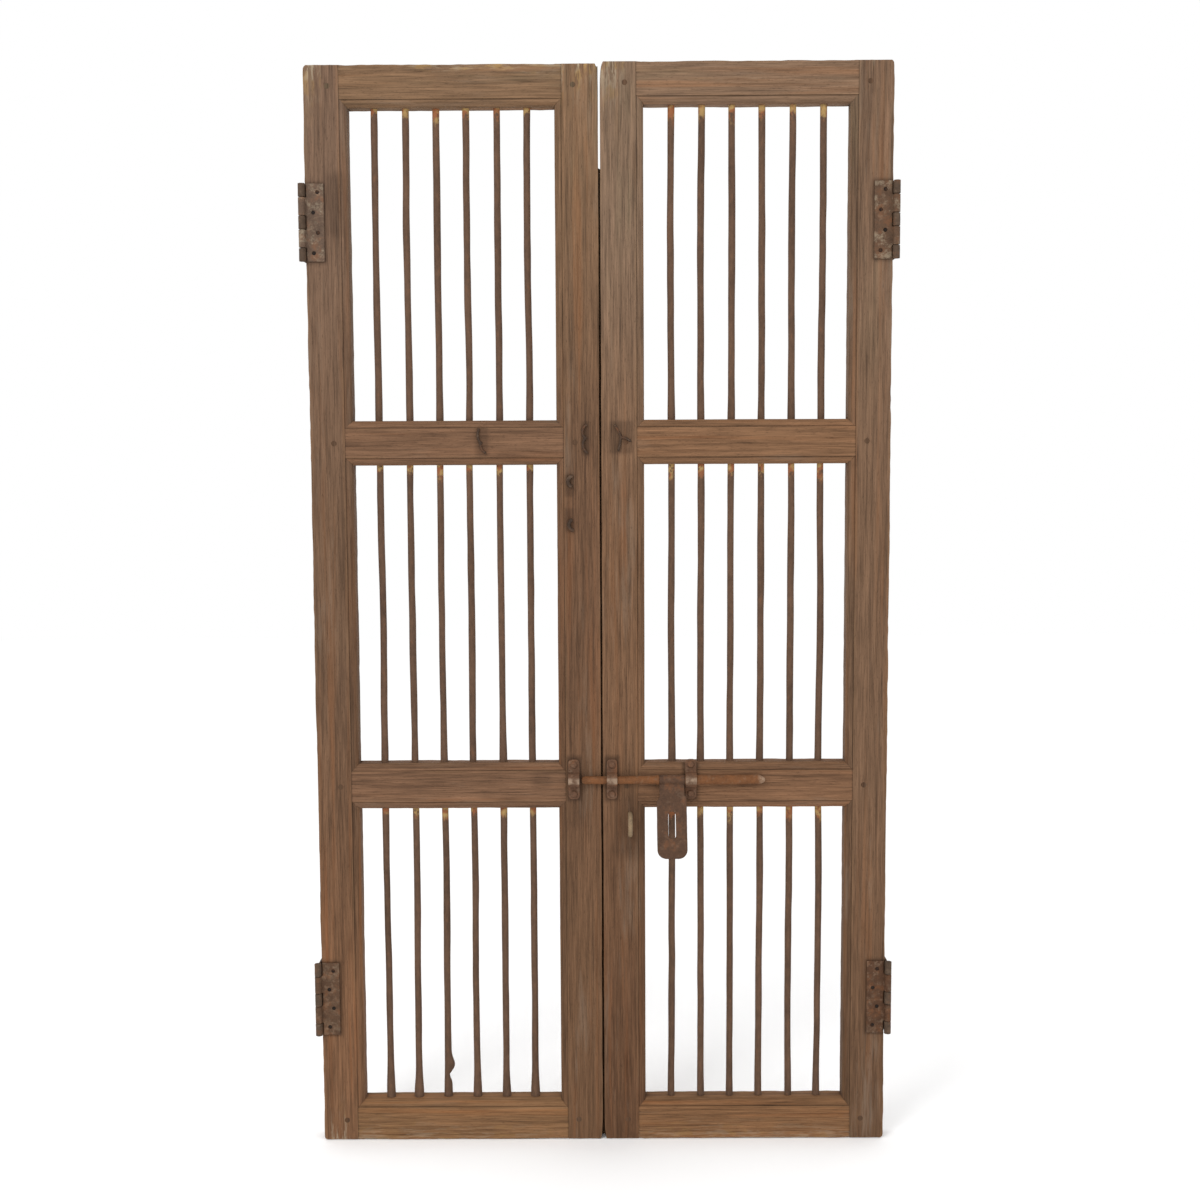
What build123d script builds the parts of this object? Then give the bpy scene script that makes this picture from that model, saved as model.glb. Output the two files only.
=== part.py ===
from build123d import *
from math import cos, radians, sin
import os

# A pair of timber garden gate leaves with round iron bars, four butt hinges and a sliding bolt
# with a slotted hasp. Millimetres, +Z up, front face of the leaves on Y = 0 with the front
# towards -Y, X = 0 halfway between the outer edges, Z = 0 at the foot of the leaves.
# Side -1 is the left leaf as seen from the front, side +1 the right leaf.

SIDES = {-1: "left", 1: "right"}

# Leaves
LEAF_TOP = {-1: 1435.0, 1: 1437.5}  # the left leaf stands a little lower
OUTER_X = 382.25  # outer edge of each hinge stile
HINGE_STILE = 56.0
OPENING_START = 58.0  # inner edge of each meeting stile
THICK = 30.0
RAIL_SPAN = {"bottom_rail": (0.0, 55.0), "lower_mid_rail": (459.0, 521.0), "upper_mid_rail": (919.5, 978.5)}
TOP_RAIL = 53.5
OPENING_END = OUTER_X - HINGE_STILE

# Moulding on the front inner edges
MOULD = 10.0
QUIRK = 1.5
MOULD_DEPTH = 6.5
MOULD_BULGE = (0.35, 3.0)  # a point of the curve: share of the width, and depth
FRONT_LAYER = 10.0  # depth of the mitred front shoulders

# Meeting edges: a tongue on the left stile stands behind a lip on the right stile
SEAM = {-1: -0.8, 1: 1.1}
TONGUE_TIP = 6.0
TONGUE_Y = 16.0
TONGUE_BREAK = 134.0  # length broken off the top of the tongue
LIP_BACK_Y = 14.0
REBATE_X = 10.0

# Joints in the timber
TENON_Y = (10.0, 20.0)
TENON_HALF = 18.0
TENON_STOP = 18.0  # the tenons in the meeting stiles end this far from X = 0
MORTISE_GAP = 0.1
PEG_R = 3.5
PEG_INSET = 24.5
PEG_GAP = 0.05

# Bars
BAR_R = 4.5
BAR_GAP = 0.05
BAR_Y = 17.0
BAR_COUNT = 6
BAR_MIDDLE = 193.0
BAR_PITCH = 39.75
BAR_SOCKET = 25.0

# Butt hinges, 100 mm tall
HINGE_FOOT = {"upper": 1184.5, "lower": 148.5}
HINGE_H = 100.0
PLATE = 2.5
PLATE_W = 25.6
KNUCKLE_R = 4.7
PLATE_GAP = 0.5  # from the stile's edge to the post plate
PIN_R = 2.5
PIN_GAP = 0.05
POST_KNUCKLE = 17.2
LEAF_KNUCKLE = 23.2
KNUCKLE_GAP = 0.5
NOTCH_GAP = 0.5
HOLE_R = 2.5
HOLE_Z = (89.0, 63.0, 37.0, 11.0)
HOLE_NEAR = 11.4
HOLE_FAR = 17.2
SCREW_R = 2.2
SCREW_SUNK = 1.0
SCREW_LENGTH = 20.0
POST_PLATE_X = OUTER_X + PLATE_GAP
AXIS_X = 385.5
AXIS_Y = -KNUCKLE_R

# Sliding bolt, drawn to the right, with its hasp swung clear of the padlock staple
DRAW = 55.0  # travel from shot to drawn
HASP_SWING = 22.0  # degrees that the hasp stands out from hanging
BOLT_Y = -7.4
BOLT_Z = 499.5
ROD_R = 5.4
ROD_LEFT = -82.0 + DRAW
ROD_RIGHT = 163.0 + DRAW
ROD_TAPER = 11.0
SLEEVE_R = 6.6
SLEEVE_GAP = 0.05
SLEEVE_LEFT = 21.5 + DRAW
SLEEVE_RIGHT = 56.0 + DRAW
SLEEVE_PLAY = 0.3
COLLAR = 3.2  # length of the collar on the rod, left of the sleeve
HASP_THICK = 3.0
HASP_LEFT = 17.7 + DRAW
HASP_RIGHT = 57.7 + DRAW
NECK_RIGHT = 55.0 + DRAW
NECK_DROP = 24.0
HASP_DROP = 105.3
HASP_CORNER = 12.0
SLOT_X = 37.7 + DRAW
SLOT_DROP = 61.0
SLOT_W = 9.8
SLOT_H = 37.0

# Straps over the rod
KEEPER_X = -37.5
GUIDE_X = {"middle_guide": 13.5, "end_guide": 119.0}
STRAP_W = {"keeper": 15.0, "middle_guide": 14.0, "end_guide": 15.0}
STRAP_BORE = 7.0
STRAP = 2.5
STRAP_FOOT = 27.0
STRAP_CORNER = 5.0
STRAP_BEND = 1.5
RIVET_DROP = 19.8
RIVET_HEAD_R = 5.3
RIVET_HEAD = 2.6
RIVET_R = 2.0
RIVET_DEPTH = 20.0

# Wire pieces
STAPLE_WIRE = 3.0
STAPLE_X = 37.7
STAPLE_HALF = 13.5
STAPLE_OUT = 23.0
STAPLE_IN = 20.0
EYE_R = 6.0
EYE_WIRE = 1.7
SHANK_R = 2.6
LEG_WIRE = 1.6
CLINCH_WIRE = 2.4
CLINCH_BEND = 12.0
HOLE_GAP = 0.05

# The back hardware reaches as far from the origin as the hasp does in front
FRONT_REACH = -BOLT_Y + HASP_DROP * sin(radians(HASP_SWING)) + HASP_THICK / 2 * cos(radians(HASP_SWING))
BACK_REACH = FRONT_REACH

# Clinched legs: each is a bend from the hole through a middle point to a tip, in X and Z
PULL_COTTERS = {
    -1: ((-20.0, 954.5), [((-3.5, 8.0), (1.5, 17.0)), ((-3.0, -9.0), (2.5, -19.0))]),
    1: ((27.3, 955.5), [((-3.0, 7.0), (-8.0, 15.5)), ((-1.5, -8.0), (-3.5, -17.0)),
                        ((6.0, -1.5), (12.0, -5.0))]),
}
RAIL_COTTER = ((-157.6, 948.5), [((-3.5, 9.0), (-2.0, 18.0)), ((1.0, -7.0), (6.0, -12.5))])
CLINCHED_X = -39.0
CLINCHED_Z = (891.5, 846.5)
CLINCHED_LEGS = [((-4.0, 5.0), (1.0, 13.0)), ((-3.0, -5.0), (1.5, -13.0))]

SIDE_RAILS = ("bottom_rail", "lower_mid_rail", "upper_mid_rail", "top_rail")


def save(part, name):
    part.label = name
    export_step(part, f"parts/{name}.step")


def rail_span(side, rail):
    """Foot and top of a rail, and whether each of its edges is moulded."""
    foot, top = RAIL_SPAN.get(rail, (LEAF_TOP[side] - TOP_RAIL, LEAF_TOP[side]))
    return foot, top, rail != "bottom_rail", rail != "top_rail"


def strap_rivets(x):
    return [(x, BOLT_Z + RIVET_DROP), (x, BOLT_Z - RIVET_DROP)]


def rail_middles(side):
    return [sum(rail_span(side, rail)[:2]) / 2 for rail in SIDE_RAILS]


def bar_places(side):
    first = BAR_MIDDLE - BAR_PITCH * (BAR_COUNT - 1) / 2
    return [(side * (first + BAR_PITCH * i), BAR_Y) for i in range(BAR_COUNT)]


def drill(places, radius, depth):
    """Round holes from the front face."""
    with BuildSketch(Plane.XZ) as holes:
        with Locations(*places):
            Circle(radius)
    extrude(holes.sketch, amount=-depth, mode=Mode.SUBTRACT)


def moulded_section(edge, inward, far):
    """Stile section: front outline with its quirk and curve, then the far edge's points."""
    bulge = edge + inward * MOULD * MOULD_BULGE[0]
    Polyline((far[0][0], 0), (edge + inward * MOULD, 0), (edge + inward * MOULD, QUIRK))
    ThreePointArc((edge + inward * MOULD, QUIRK), (bulge, MOULD_BULGE[1]), (edge, MOULD_DEPTH))
    Polyline((edge, MOULD_DEPTH), (edge, THICK), *reversed(far))


def mitred_end(edge, inward, span):
    """Where a rail's front layer runs over the stile's moulding, with mitred corners."""
    foot, top, low, high = span
    deep = edge + inward * MOULD
    return [(edge, foot), (deep, foot + MOULD * low), (deep, top - MOULD * high), (edge, top)]


def cut_rail_seats(side, edge, inward, tenon_end):
    """Front recesses and mortises for the four rails."""
    for rail in SIDE_RAILS:
        span = rail_span(side, rail)
        with BuildSketch(Plane.XZ) as seat:
            with BuildLine():
                Polyline(*mitred_end(edge, inward, span), close=True)
            make_face()
        extrude(seat.sketch, amount=-FRONT_LAYER, mode=Mode.SUBTRACT)
    start, end = sorted((edge, tenon_end))
    with BuildSketch(Plane.YZ.offset(start)) as mortises:
        with Locations(*[(sum(TENON_Y) / 2, z) for z in rail_middles(side)]):
            Rectangle(TENON_Y[1] - TENON_Y[0] + 2 * MORTISE_GAP, 2 * (TENON_HALF + MORTISE_GAP))
    extrude(mortises.sketch, amount=end - start, mode=Mode.SUBTRACT)
    peg_x = edge + inward * PEG_INSET
    drill([(peg_x, z) for z in rail_middles(side)], PEG_R + PEG_GAP, THICK)


def hole_columns(side):
    """Distance of each hinge hole from the knuckle, from the top hole down."""
    pair = (HOLE_FAR, HOLE_NEAR) if side < 0 else (HOLE_NEAR, HOLE_FAR)
    return pair * 2


def leaf_plate_holes(side, foot):
    columns = zip(hole_columns(side), HOLE_Z)
    return [(side * (POST_PLATE_X - column), foot + z) for column, z in columns]


def make_hinge_stile(side):
    edge, outer = side * OPENING_END, side * OUTER_X
    with BuildPart() as stile:
        with BuildSketch(Plane.XY):
            with BuildLine():
                moulded_section(edge, side, [(outer, 0), (outer, THICK)])
            make_face()
        extrude(amount=LEAF_TOP[side])
        cut_rail_seats(side, edge, side, outer)
        for foot in HINGE_FOOT.values():
            drill(leaf_plate_holes(side, foot), SCREW_R + HOLE_GAP, SCREW_LENGTH)
    save(stile.part, f"{SIDES[side]}_hinge_stile")


def drill_for_iron(side):
    """Holes for the nails, cotters and staples, through stile and tenon alike."""
    drill([PULL_COTTERS[side][0]], SHANK_R + HOLE_GAP, THICK)
    if side < 0:
        drill([RAIL_COTTER[0]], SHANK_R + HOLE_GAP, THICK)
        drill(strap_rivets(KEEPER_X), RIVET_R + HOLE_GAP, RIVET_DEPTH)
        drill([(CLINCHED_X, z) for z in CLINCHED_Z], CLINCH_WIRE + HOLE_GAP, THICK)
    else:
        for x in GUIDE_X.values():
            drill(strap_rivets(x), RIVET_R + HOLE_GAP, RIVET_DEPTH)
        legs = [(STAPLE_X, BOLT_Z - SLOT_DROP + leg) for leg in (-STAPLE_HALF, STAPLE_HALF)]
        drill(legs, STAPLE_WIRE + HOLE_GAP, STAPLE_IN)


def make_meeting_stile(side):
    edge, seam = side * OPENING_START, SEAM[side]
    if side < 0:
        far = [(seam, 0), (seam, TONGUE_Y), (TONGUE_TIP, TONGUE_Y), (TONGUE_TIP, THICK)]
    else:
        far = [(seam, 0), (seam, LIP_BACK_Y), (REBATE_X, LIP_BACK_Y), (REBATE_X, THICK)]
    with BuildPart() as stile:
        with BuildSketch(Plane.XY):
            with BuildLine():
                moulded_section(edge, -side, far)
            make_face()
        extrude(amount=LEAF_TOP[side])
        cut_rail_seats(side, edge, -side, side * TENON_STOP)
        drill_for_iron(side)
        if side < 0:
            with BuildSketch(Plane.XY.offset(LEAF_TOP[side] - TONGUE_BREAK)):
                with Locations((seam, TONGUE_Y)):
                    Rectangle(2 * TONGUE_TIP, THICK, align=(Align.MIN, Align.MIN))
            extrude(amount=TONGUE_BREAK, mode=Mode.SUBTRACT)
    save(stile.part, f"{SIDES[side]}_meeting_stile")


def cut_edge_moulding(z, up, start, length):
    """The quirk and curve along a rail's upper (up = 1) or lower (up = -1) front edge."""
    with BuildSketch(Plane.YZ.offset(start)) as waste:
        with BuildLine():
            Polyline((MOULD_DEPTH, z), (MOULD_DEPTH, z + up), (-1, z + up), (-1, z - up * MOULD))
            Line((-1, z - up * MOULD), (QUIRK, z - up * MOULD))
            bulge = (MOULD_BULGE[1], z - up * MOULD * MOULD_BULGE[0])
            ThreePointArc((QUIRK, z - up * MOULD), bulge, (MOULD_DEPTH, z))
        make_face()
    extrude(waste.sketch, amount=length, mode=Mode.SUBTRACT)


def make_rail(side, rail):
    span = rail_span(side, rail)
    foot, top, low, high = span
    near, far = side * OPENING_START, side * OPENING_END
    bars = bar_places(side)
    with BuildPart() as member:
        with BuildSketch(Plane.XZ):
            with BuildLine():
                Polyline(*mitred_end(near, -side, span), *reversed(mitred_end(far, side, span)), close=True)
            make_face()
        extrude(amount=-FRONT_LAYER)
        with BuildSketch(Plane.XZ.offset(-FRONT_LAYER)):
            with Locations(((near + far) / 2, (foot + top) / 2)):
                Rectangle(abs(far - near), top - foot)
        extrude(amount=-(THICK - FRONT_LAYER))
        start, end = sorted((side * TENON_STOP, side * OUTER_X))
        with BuildSketch(Plane.YZ.offset(start)):
            with Locations((sum(TENON_Y) / 2, (foot + top) / 2)):
                Rectangle(TENON_Y[1] - TENON_Y[0], 2 * TENON_HALF)
        extrude(amount=end - start)
        start, end = sorted((near - side * MOULD, far + side * MOULD))
        if low:
            cut_edge_moulding(foot, -1, start, end - start)
        if high:
            cut_edge_moulding(top, 1, start, end - start)
        socket_foot = top - BAR_SOCKET if rail == "bottom_rail" else foot
        socket = BAR_SOCKET if rail in ("bottom_rail", "top_rail") else top - foot
        with BuildSketch(Plane.XY.offset(socket_foot)):
            with Locations(*bars):
                Circle(BAR_R + BAR_GAP)
        extrude(amount=socket, mode=Mode.SUBTRACT)
        pegs = [(near - side * PEG_INSET, (foot + top) / 2), (far + side * PEG_INSET, (foot + top) / 2)]
        drill(pegs, PEG_R + PEG_GAP, THICK)
        drill_for_iron(side)
    save(member.part, f"{SIDES[side]}_{rail}")


def make_bars(side):
    foot = rail_span(side, "bottom_rail")[1] - BAR_SOCKET
    top = rail_span(side, "top_rail")[0] + BAR_SOCKET
    for number, place in enumerate(bar_places(side), 1):
        with BuildPart() as bar:
            with BuildSketch(Plane.XY.offset(foot)):
                with Locations(place):
                    Circle(BAR_R)
            extrude(amount=top - foot)
        save(bar.part, f"{SIDES[side]}_bar_{number}")


def make_pegs(side):
    columns = (side * (OPENING_START - PEG_INSET), side * (OPENING_END + PEG_INSET))
    with BuildPart() as pegs:
        with BuildSketch(Plane.XZ):
            with Locations(*[(x, z) for x in columns for z in rail_middles(side)]):
                Circle(PEG_R)
        extrude(amount=-THICK)
    save(pegs.part, f"{SIDES[side]}_tenon_pegs")


def knuckle_spans(foot):
    """Heights of the post plate's three knuckles and the leaf plate's two, in turn."""
    spans, z = {"post": [], "leaf": []}, foot
    for kind in ("post", "leaf", "post", "leaf", "post"):
        height = POST_KNUCKLE if kind == "post" else LEAF_KNUCKLE
        spans[kind].append((z, height))
        z += height + KNUCKLE_GAP
    return spans


def add_knuckles(side, spans):
    for z, height in spans:
        with BuildSketch(Plane.XY.offset(z)) as knuckle:
            with Locations((side * AXIS_X, AXIS_Y)):
                Circle(KNUCKLE_R)
        extrude(knuckle.sketch, amount=height)


def bore_knuckles(side, foot):
    with BuildSketch(Plane.XY.offset(foot)) as bore:
        with Locations((side * AXIS_X, AXIS_Y)):
            Circle(PIN_R + PIN_GAP)
    extrude(bore.sketch, amount=HINGE_H, mode=Mode.SUBTRACT)


def make_leaf_plate(side, level):
    """The plate on the stile's face, with knuckles two and four."""
    foot = HINGE_FOOT[level]
    spans = knuckle_spans(foot)
    inner = side * (POST_PLATE_X - PLATE_W)
    start = min(inner, side * AXIS_X)
    notch = side * (AXIS_X - KNUCKLE_R - NOTCH_GAP)
    with BuildPart() as plate:
        with BuildSketch(Plane.XZ):
            with Locations((start, foot)):
                Rectangle(abs(side * AXIS_X - inner), HINGE_H, align=(Align.MIN, Align.MIN))
            for z, height in spans["post"]:
                with Locations((min(notch, side * AXIS_X), z - KNUCKLE_GAP)):
                    size = (abs(side * AXIS_X - notch), height + 2 * KNUCKLE_GAP)
                    Rectangle(*size, align=(Align.MIN, Align.MIN), mode=Mode.SUBTRACT)
        extrude(amount=PLATE)
        add_knuckles(side, spans["leaf"])
        bore_knuckles(side, foot)
        with BuildSketch(Plane.XZ):
            with Locations(*leaf_plate_holes(side, foot)):
                Circle(HOLE_R)
        extrude(amount=PLATE, mode=Mode.SUBTRACT)
    save(plate.part, f"{SIDES[side]}_{level}_leaf_plate")


def make_post_plate(side, level):
    """The plate that lies against the post, beside the stile's edge, with knuckles one, three and five."""
    foot = HINGE_FOOT[level]
    spans = knuckle_spans(foot)
    with BuildPart() as plate:
        with BuildSketch(Plane.YZ.offset(side * POST_PLATE_X)):
            with Locations((AXIS_Y, foot)):
                Rectangle(PLATE_W - AXIS_Y, HINGE_H, align=(Align.MIN, Align.MIN))
            for z, height in spans["leaf"]:
                with Locations((AXIS_Y, z - KNUCKLE_GAP)):
                    size = (NOTCH_GAP - AXIS_Y, height + 2 * KNUCKLE_GAP)
                    Rectangle(*size, align=(Align.MIN, Align.MIN), mode=Mode.SUBTRACT)
        extrude(amount=side * PLATE)
        add_knuckles(side, spans["post"])
        bore_knuckles(side, foot)
        with BuildSketch(Plane.YZ.offset(side * POST_PLATE_X)):
            with Locations(*[(column, foot + z) for column, z in zip(hole_columns(side), HOLE_Z)]):
                Circle(HOLE_R)
        extrude(amount=side * PLATE, mode=Mode.SUBTRACT)
    save(plate.part, f"{SIDES[side]}_{level}_post_plate")


def make_hinge_pin(side, level):
    with BuildPart() as pin:
        with BuildSketch(Plane.XY.offset(HINGE_FOOT[level])):
            with Locations((side * AXIS_X, AXIS_Y)):
                Circle(PIN_R)
        extrude(amount=HINGE_H)
        chamfer(pin.edges().filter_by(GeomType.CIRCLE), length=0.6)
    save(pin.part, f"{SIDES[side]}_{level}_hinge_pin")


def make_hinge_screws(side):
    """Small screws, sunk in the leaf plates' holes."""
    with BuildPart() as screws:
        for foot in HINGE_FOOT.values():
            with BuildSketch(Plane.XZ.offset(PLATE - SCREW_SUNK)):
                with Locations(*leaf_plate_holes(side, foot)):
                    Circle(SCREW_R)
            extrude(amount=-(PLATE - SCREW_SUNK + SCREW_LENGTH))
    save(screws.part, f"{SIDES[side]}_hinge_screws")


def clinch(hole, legs, wire):
    """Legs bent flat over the front face, each along an arc from the hole to its tip."""
    x, z = hole
    for middle, tip in legs:
        points = [(x, -wire, z)] + [(x + dx, -wire, z + dz) for dx, dz in (middle, tip)]
        with BuildLine() as route:
            ThreePointArc(*points)
        leg = route.line
        with BuildSketch(Plane(origin=leg @ 0, z_dir=leg % 0)) as section:
            Circle(wire)
        sweep(section.sketch, path=leg)
        with Locations(points[0], points[2]):
            Sphere(wire)


def make_cotter(name, hole, legs):
    """An eye behind the leaf, a shank through it and legs clinched in front."""
    x, z = hole
    eye_y = THICK + EYE_R + EYE_WIRE
    with BuildPart() as cotter:
        with BuildSketch(Plane.XZ.offset(LEG_WIRE)):
            with Locations(hole):
                Circle(SHANK_R)
        extrude(amount=-(THICK + 2 * EYE_WIRE + LEG_WIRE))
        with Locations(Plane(origin=(x, eye_y, z), z_dir=(1, 0, 0))):
            Torus(EYE_R, EYE_WIRE)
        clinch(hole, legs, LEG_WIRE)
    save(cotter.part, name)


def make_clinched_staple():
    """A wire staple driven from behind, its two prongs bent over in front."""
    back = BACK_REACH - CLINCH_WIRE
    upper, lower = CLINCHED_Z
    with BuildPart() as staple:
        with BuildLine():
            corners = [(CLINCHED_X, y, z) for y, z in ((-CLINCH_WIRE, upper), (back, upper), (back, lower),
                                                       (-CLINCH_WIRE, lower))]
            route = FilletPolyline(*corners, radius=CLINCH_BEND)
        with BuildSketch(Plane(origin=route @ 0, z_dir=route % 0)):
            Circle(CLINCH_WIRE)
        sweep(path=route)
        for z, legs in zip(CLINCHED_Z, (CLINCHED_LEGS[:1], CLINCHED_LEGS[1:])):
            clinch((CLINCHED_X, z), legs, CLINCH_WIRE)
    save(staple.part, "clinched_staple")


def make_padlock_staple():
    """The loop that the hasp's slot drops over."""
    middle = BOLT_Z - SLOT_DROP
    with BuildPart() as staple:
        with BuildLine():
            crown = -(STAPLE_OUT - STAPLE_WIRE)
            ends = ((STAPLE_IN, -STAPLE_HALF), (crown, -STAPLE_HALF), (crown, STAPLE_HALF),
                    (STAPLE_IN, STAPLE_HALF))
            route = FilletPolyline(*[(STAPLE_X, y, middle + z) for y, z in ends], radius=STAPLE_HALF - 0.5)
        with BuildSketch(Plane(origin=route @ 0, z_dir=route % 0)):
            Circle(STAPLE_WIRE)
        sweep(path=route)
    save(staple.part, "padlock_staple")


def make_strap(name, x, kind):
    """A flat iron strap bent over the rod, with a foot above and below it."""
    width = STRAP_W[kind]
    arch = STRAP_BORE + STRAP
    with BuildPart() as strap:
        with BuildSketch(Plane.YZ.offset(x - width / 2)):
            with Locations((BOLT_Y, BOLT_Z)):
                Circle(arch)
                Rectangle(-BOLT_Y, 2 * arch, align=(Align.MIN, Align.CENTER))
            with Locations((-STRAP, BOLT_Z)):
                Rectangle(STRAP, 2 * STRAP_FOOT, align=(Align.MIN, Align.CENTER))
            with Locations((BOLT_Y, BOLT_Z)):
                Circle(STRAP_BORE, mode=Mode.SUBTRACT)
                Rectangle(-BOLT_Y, 2 * STRAP_BORE, align=(Align.MIN, Align.CENTER), mode=Mode.SUBTRACT)
            with Locations((0, BOLT_Z)):
                Rectangle(arch, 2 * STRAP_FOOT, align=(Align.MIN, Align.CENTER), mode=Mode.SUBTRACT)
        extrude(amount=width)
        bends = strap.edges().filter_by(Axis.X).filter_by(
            lambda e: abs(e.center().Y + STRAP) < 0.01 and abs(abs(e.center().Z - BOLT_Z) - arch) < 0.01)
        fillet(bends, radius=STRAP_BEND)
        ends = strap.edges().filter_by(Axis.Y).filter_by(
            lambda e: abs(abs(e.center().Z - BOLT_Z) - STRAP_FOOT) < 0.01)
        fillet(ends, radius=STRAP_CORNER)
        with BuildSketch(Plane.XZ):
            with Locations(*strap_rivets(x)):
                Circle(RIVET_R + HOLE_GAP)
        extrude(amount=STRAP, mode=Mode.SUBTRACT)
    save(strap.part, name)


def make_rivets(name, columns):
    """Domed nails through the straps' feet."""
    places = [place for x in columns for place in strap_rivets(x)]
    with BuildPart() as rivets:
        with BuildSketch(Plane.XZ.offset(STRAP)):
            with Locations(*places):
                Circle(RIVET_R)
        extrude(amount=-(STRAP + RIVET_DEPTH))
        with BuildSketch(Plane.XZ.offset(STRAP)):
            with Locations(*places):
                Circle(RIVET_HEAD_R)
        extrude(amount=RIVET_HEAD, taper=35)
    save(rivets.part, name)


def make_bolt_rod():
    """A rod with a dressed left tip, a collar and a thicker right end that keep the sleeve in place."""
    head = ROD_RIGHT - ROD_TAPER
    collar = SLEEVE_LEFT - SLEEVE_PLAY
    shoulder = SLEEVE_RIGHT + SLEEVE_PLAY
    with BuildPart() as rod:
        with BuildSketch(Plane.XZ):
            with BuildLine():
                tip = Polyline((ROD_LEFT, 0), (ROD_LEFT, ROD_R - 2), (ROD_LEFT + 4, ROD_R))
                ring = Polyline(tip @ 1, (collar - COLLAR, ROD_R), (collar - COLLAR, SLEEVE_R),
                                (collar, SLEEVE_R), (collar, ROD_R))
                thick = Polyline(ring @ 1, (shoulder, ROD_R), (shoulder, SLEEVE_R), (head, SLEEVE_R))
                end = ThreePointArc(thick @ 1, (head + ROD_TAPER * 0.6, 5.2), (ROD_RIGHT - 1, 3.0))
                Polyline(end @ 1, (ROD_RIGHT, 1.5), (ROD_RIGHT, 0), (ROD_LEFT, 0))
            make_face()
        revolve(axis=Axis.X)
    save(rod.part.moved(Location((0, BOLT_Y, BOLT_Z))), "bolt_rod")


def make_hasp():
    """The sleeve on the rod and the slotted plate below it, swung out from hanging."""
    slot = (SLOT_X, -SLOT_DROP)
    with BuildPart() as hasp:
        with BuildSketch(Plane.YZ.offset(SLEEVE_LEFT)):
            Circle(SLEEVE_R)
        extrude(amount=SLEEVE_RIGHT - SLEEVE_LEFT)
        with BuildSketch(Plane.XZ.offset(-HASP_THICK / 2)):
            with BuildLine():
                Polyline((SLEEVE_LEFT, 0), (SLEEVE_LEFT, 3 - NECK_DROP))
                RadiusArc((SLEEVE_LEFT, 3 - NECK_DROP), (HASP_LEFT, -NECK_DROP - 4), 7)
                low = -HASP_DROP
                Polyline((HASP_LEFT, -NECK_DROP - 4), (HASP_LEFT, low), (HASP_RIGHT, low))
                Polyline((HASP_RIGHT, low), (HASP_RIGHT, -NECK_DROP), (NECK_RIGHT, 3 - NECK_DROP))
                Polyline((NECK_RIGHT, 3 - NECK_DROP), (NECK_RIGHT, 0), (SLEEVE_LEFT, 0))
            make_face()
        extrude(amount=HASP_THICK)
        corners = hasp.edges().filter_by(Axis.Y).filter_by(lambda e: abs(e.center().Z + HASP_DROP) < 0.01)
        fillet(corners, radius=HASP_CORNER)
        with BuildSketch(Plane.XZ.offset(-HASP_THICK / 2)):
            with Locations(slot):
                SlotOverall(SLOT_H, SLOT_W, rotation=90)
        extrude(amount=HASP_THICK, mode=Mode.SUBTRACT)
        with BuildSketch(Plane.YZ.offset(SLEEVE_LEFT)):
            Circle(ROD_R + SLEEVE_GAP)
        extrude(amount=SLEEVE_RIGHT - SLEEVE_LEFT, mode=Mode.SUBTRACT)
    swung = hasp.part.rotate(Axis.X, -HASP_SWING).moved(Location((0, BOLT_Y, BOLT_Z)))
    save(swung, "hasp")


def main():
    os.makedirs("parts", exist_ok=True)
    for side, word in SIDES.items():
        make_hinge_stile(side)
        make_meeting_stile(side)
        for rail in SIDE_RAILS:
            make_rail(side, rail)
        make_bars(side)
        make_pegs(side)
        make_hinge_screws(side)
        make_cotter(f"{word}_pull_cotter", *PULL_COTTERS[side])
        for level in HINGE_FOOT:
            make_leaf_plate(side, level)
            make_post_plate(side, level)
            make_hinge_pin(side, level)
    make_cotter("rail_cotter", *RAIL_COTTER)
    make_clinched_staple()
    make_padlock_staple()
    make_strap("bolt_keeper", KEEPER_X, "keeper")
    make_rivets("keeper_rivets", [KEEPER_X])
    for kind, x in GUIDE_X.items():
        make_strap(f"{kind}_strap", x, kind)
    make_rivets("guide_rivets", list(GUIDE_X.values()))
    make_bolt_rod()
    make_hasp()


main()
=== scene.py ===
import math

import bmesh
import bpy
import numpy as np
from mathutils import Matrix, Vector


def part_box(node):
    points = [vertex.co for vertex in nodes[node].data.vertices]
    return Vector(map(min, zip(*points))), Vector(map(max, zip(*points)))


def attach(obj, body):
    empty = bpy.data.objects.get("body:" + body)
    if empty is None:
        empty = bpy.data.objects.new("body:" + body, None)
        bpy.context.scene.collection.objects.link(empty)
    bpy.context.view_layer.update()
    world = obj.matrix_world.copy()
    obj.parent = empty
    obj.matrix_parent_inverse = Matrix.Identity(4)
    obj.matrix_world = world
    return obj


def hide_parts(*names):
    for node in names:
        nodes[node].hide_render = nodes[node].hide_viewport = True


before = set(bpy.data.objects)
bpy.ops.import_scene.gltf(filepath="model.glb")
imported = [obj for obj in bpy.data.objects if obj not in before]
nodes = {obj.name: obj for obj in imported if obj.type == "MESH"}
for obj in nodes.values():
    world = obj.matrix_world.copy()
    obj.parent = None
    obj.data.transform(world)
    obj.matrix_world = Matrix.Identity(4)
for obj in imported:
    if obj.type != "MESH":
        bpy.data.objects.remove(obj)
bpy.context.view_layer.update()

MM = 0.001
SIDES = {"left": -1, "right": 1}
RAILS = ("bottom_rail", "lower_mid_rail", "upper_mid_rail", "top_rail")
IRON_SEED = 900

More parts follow.
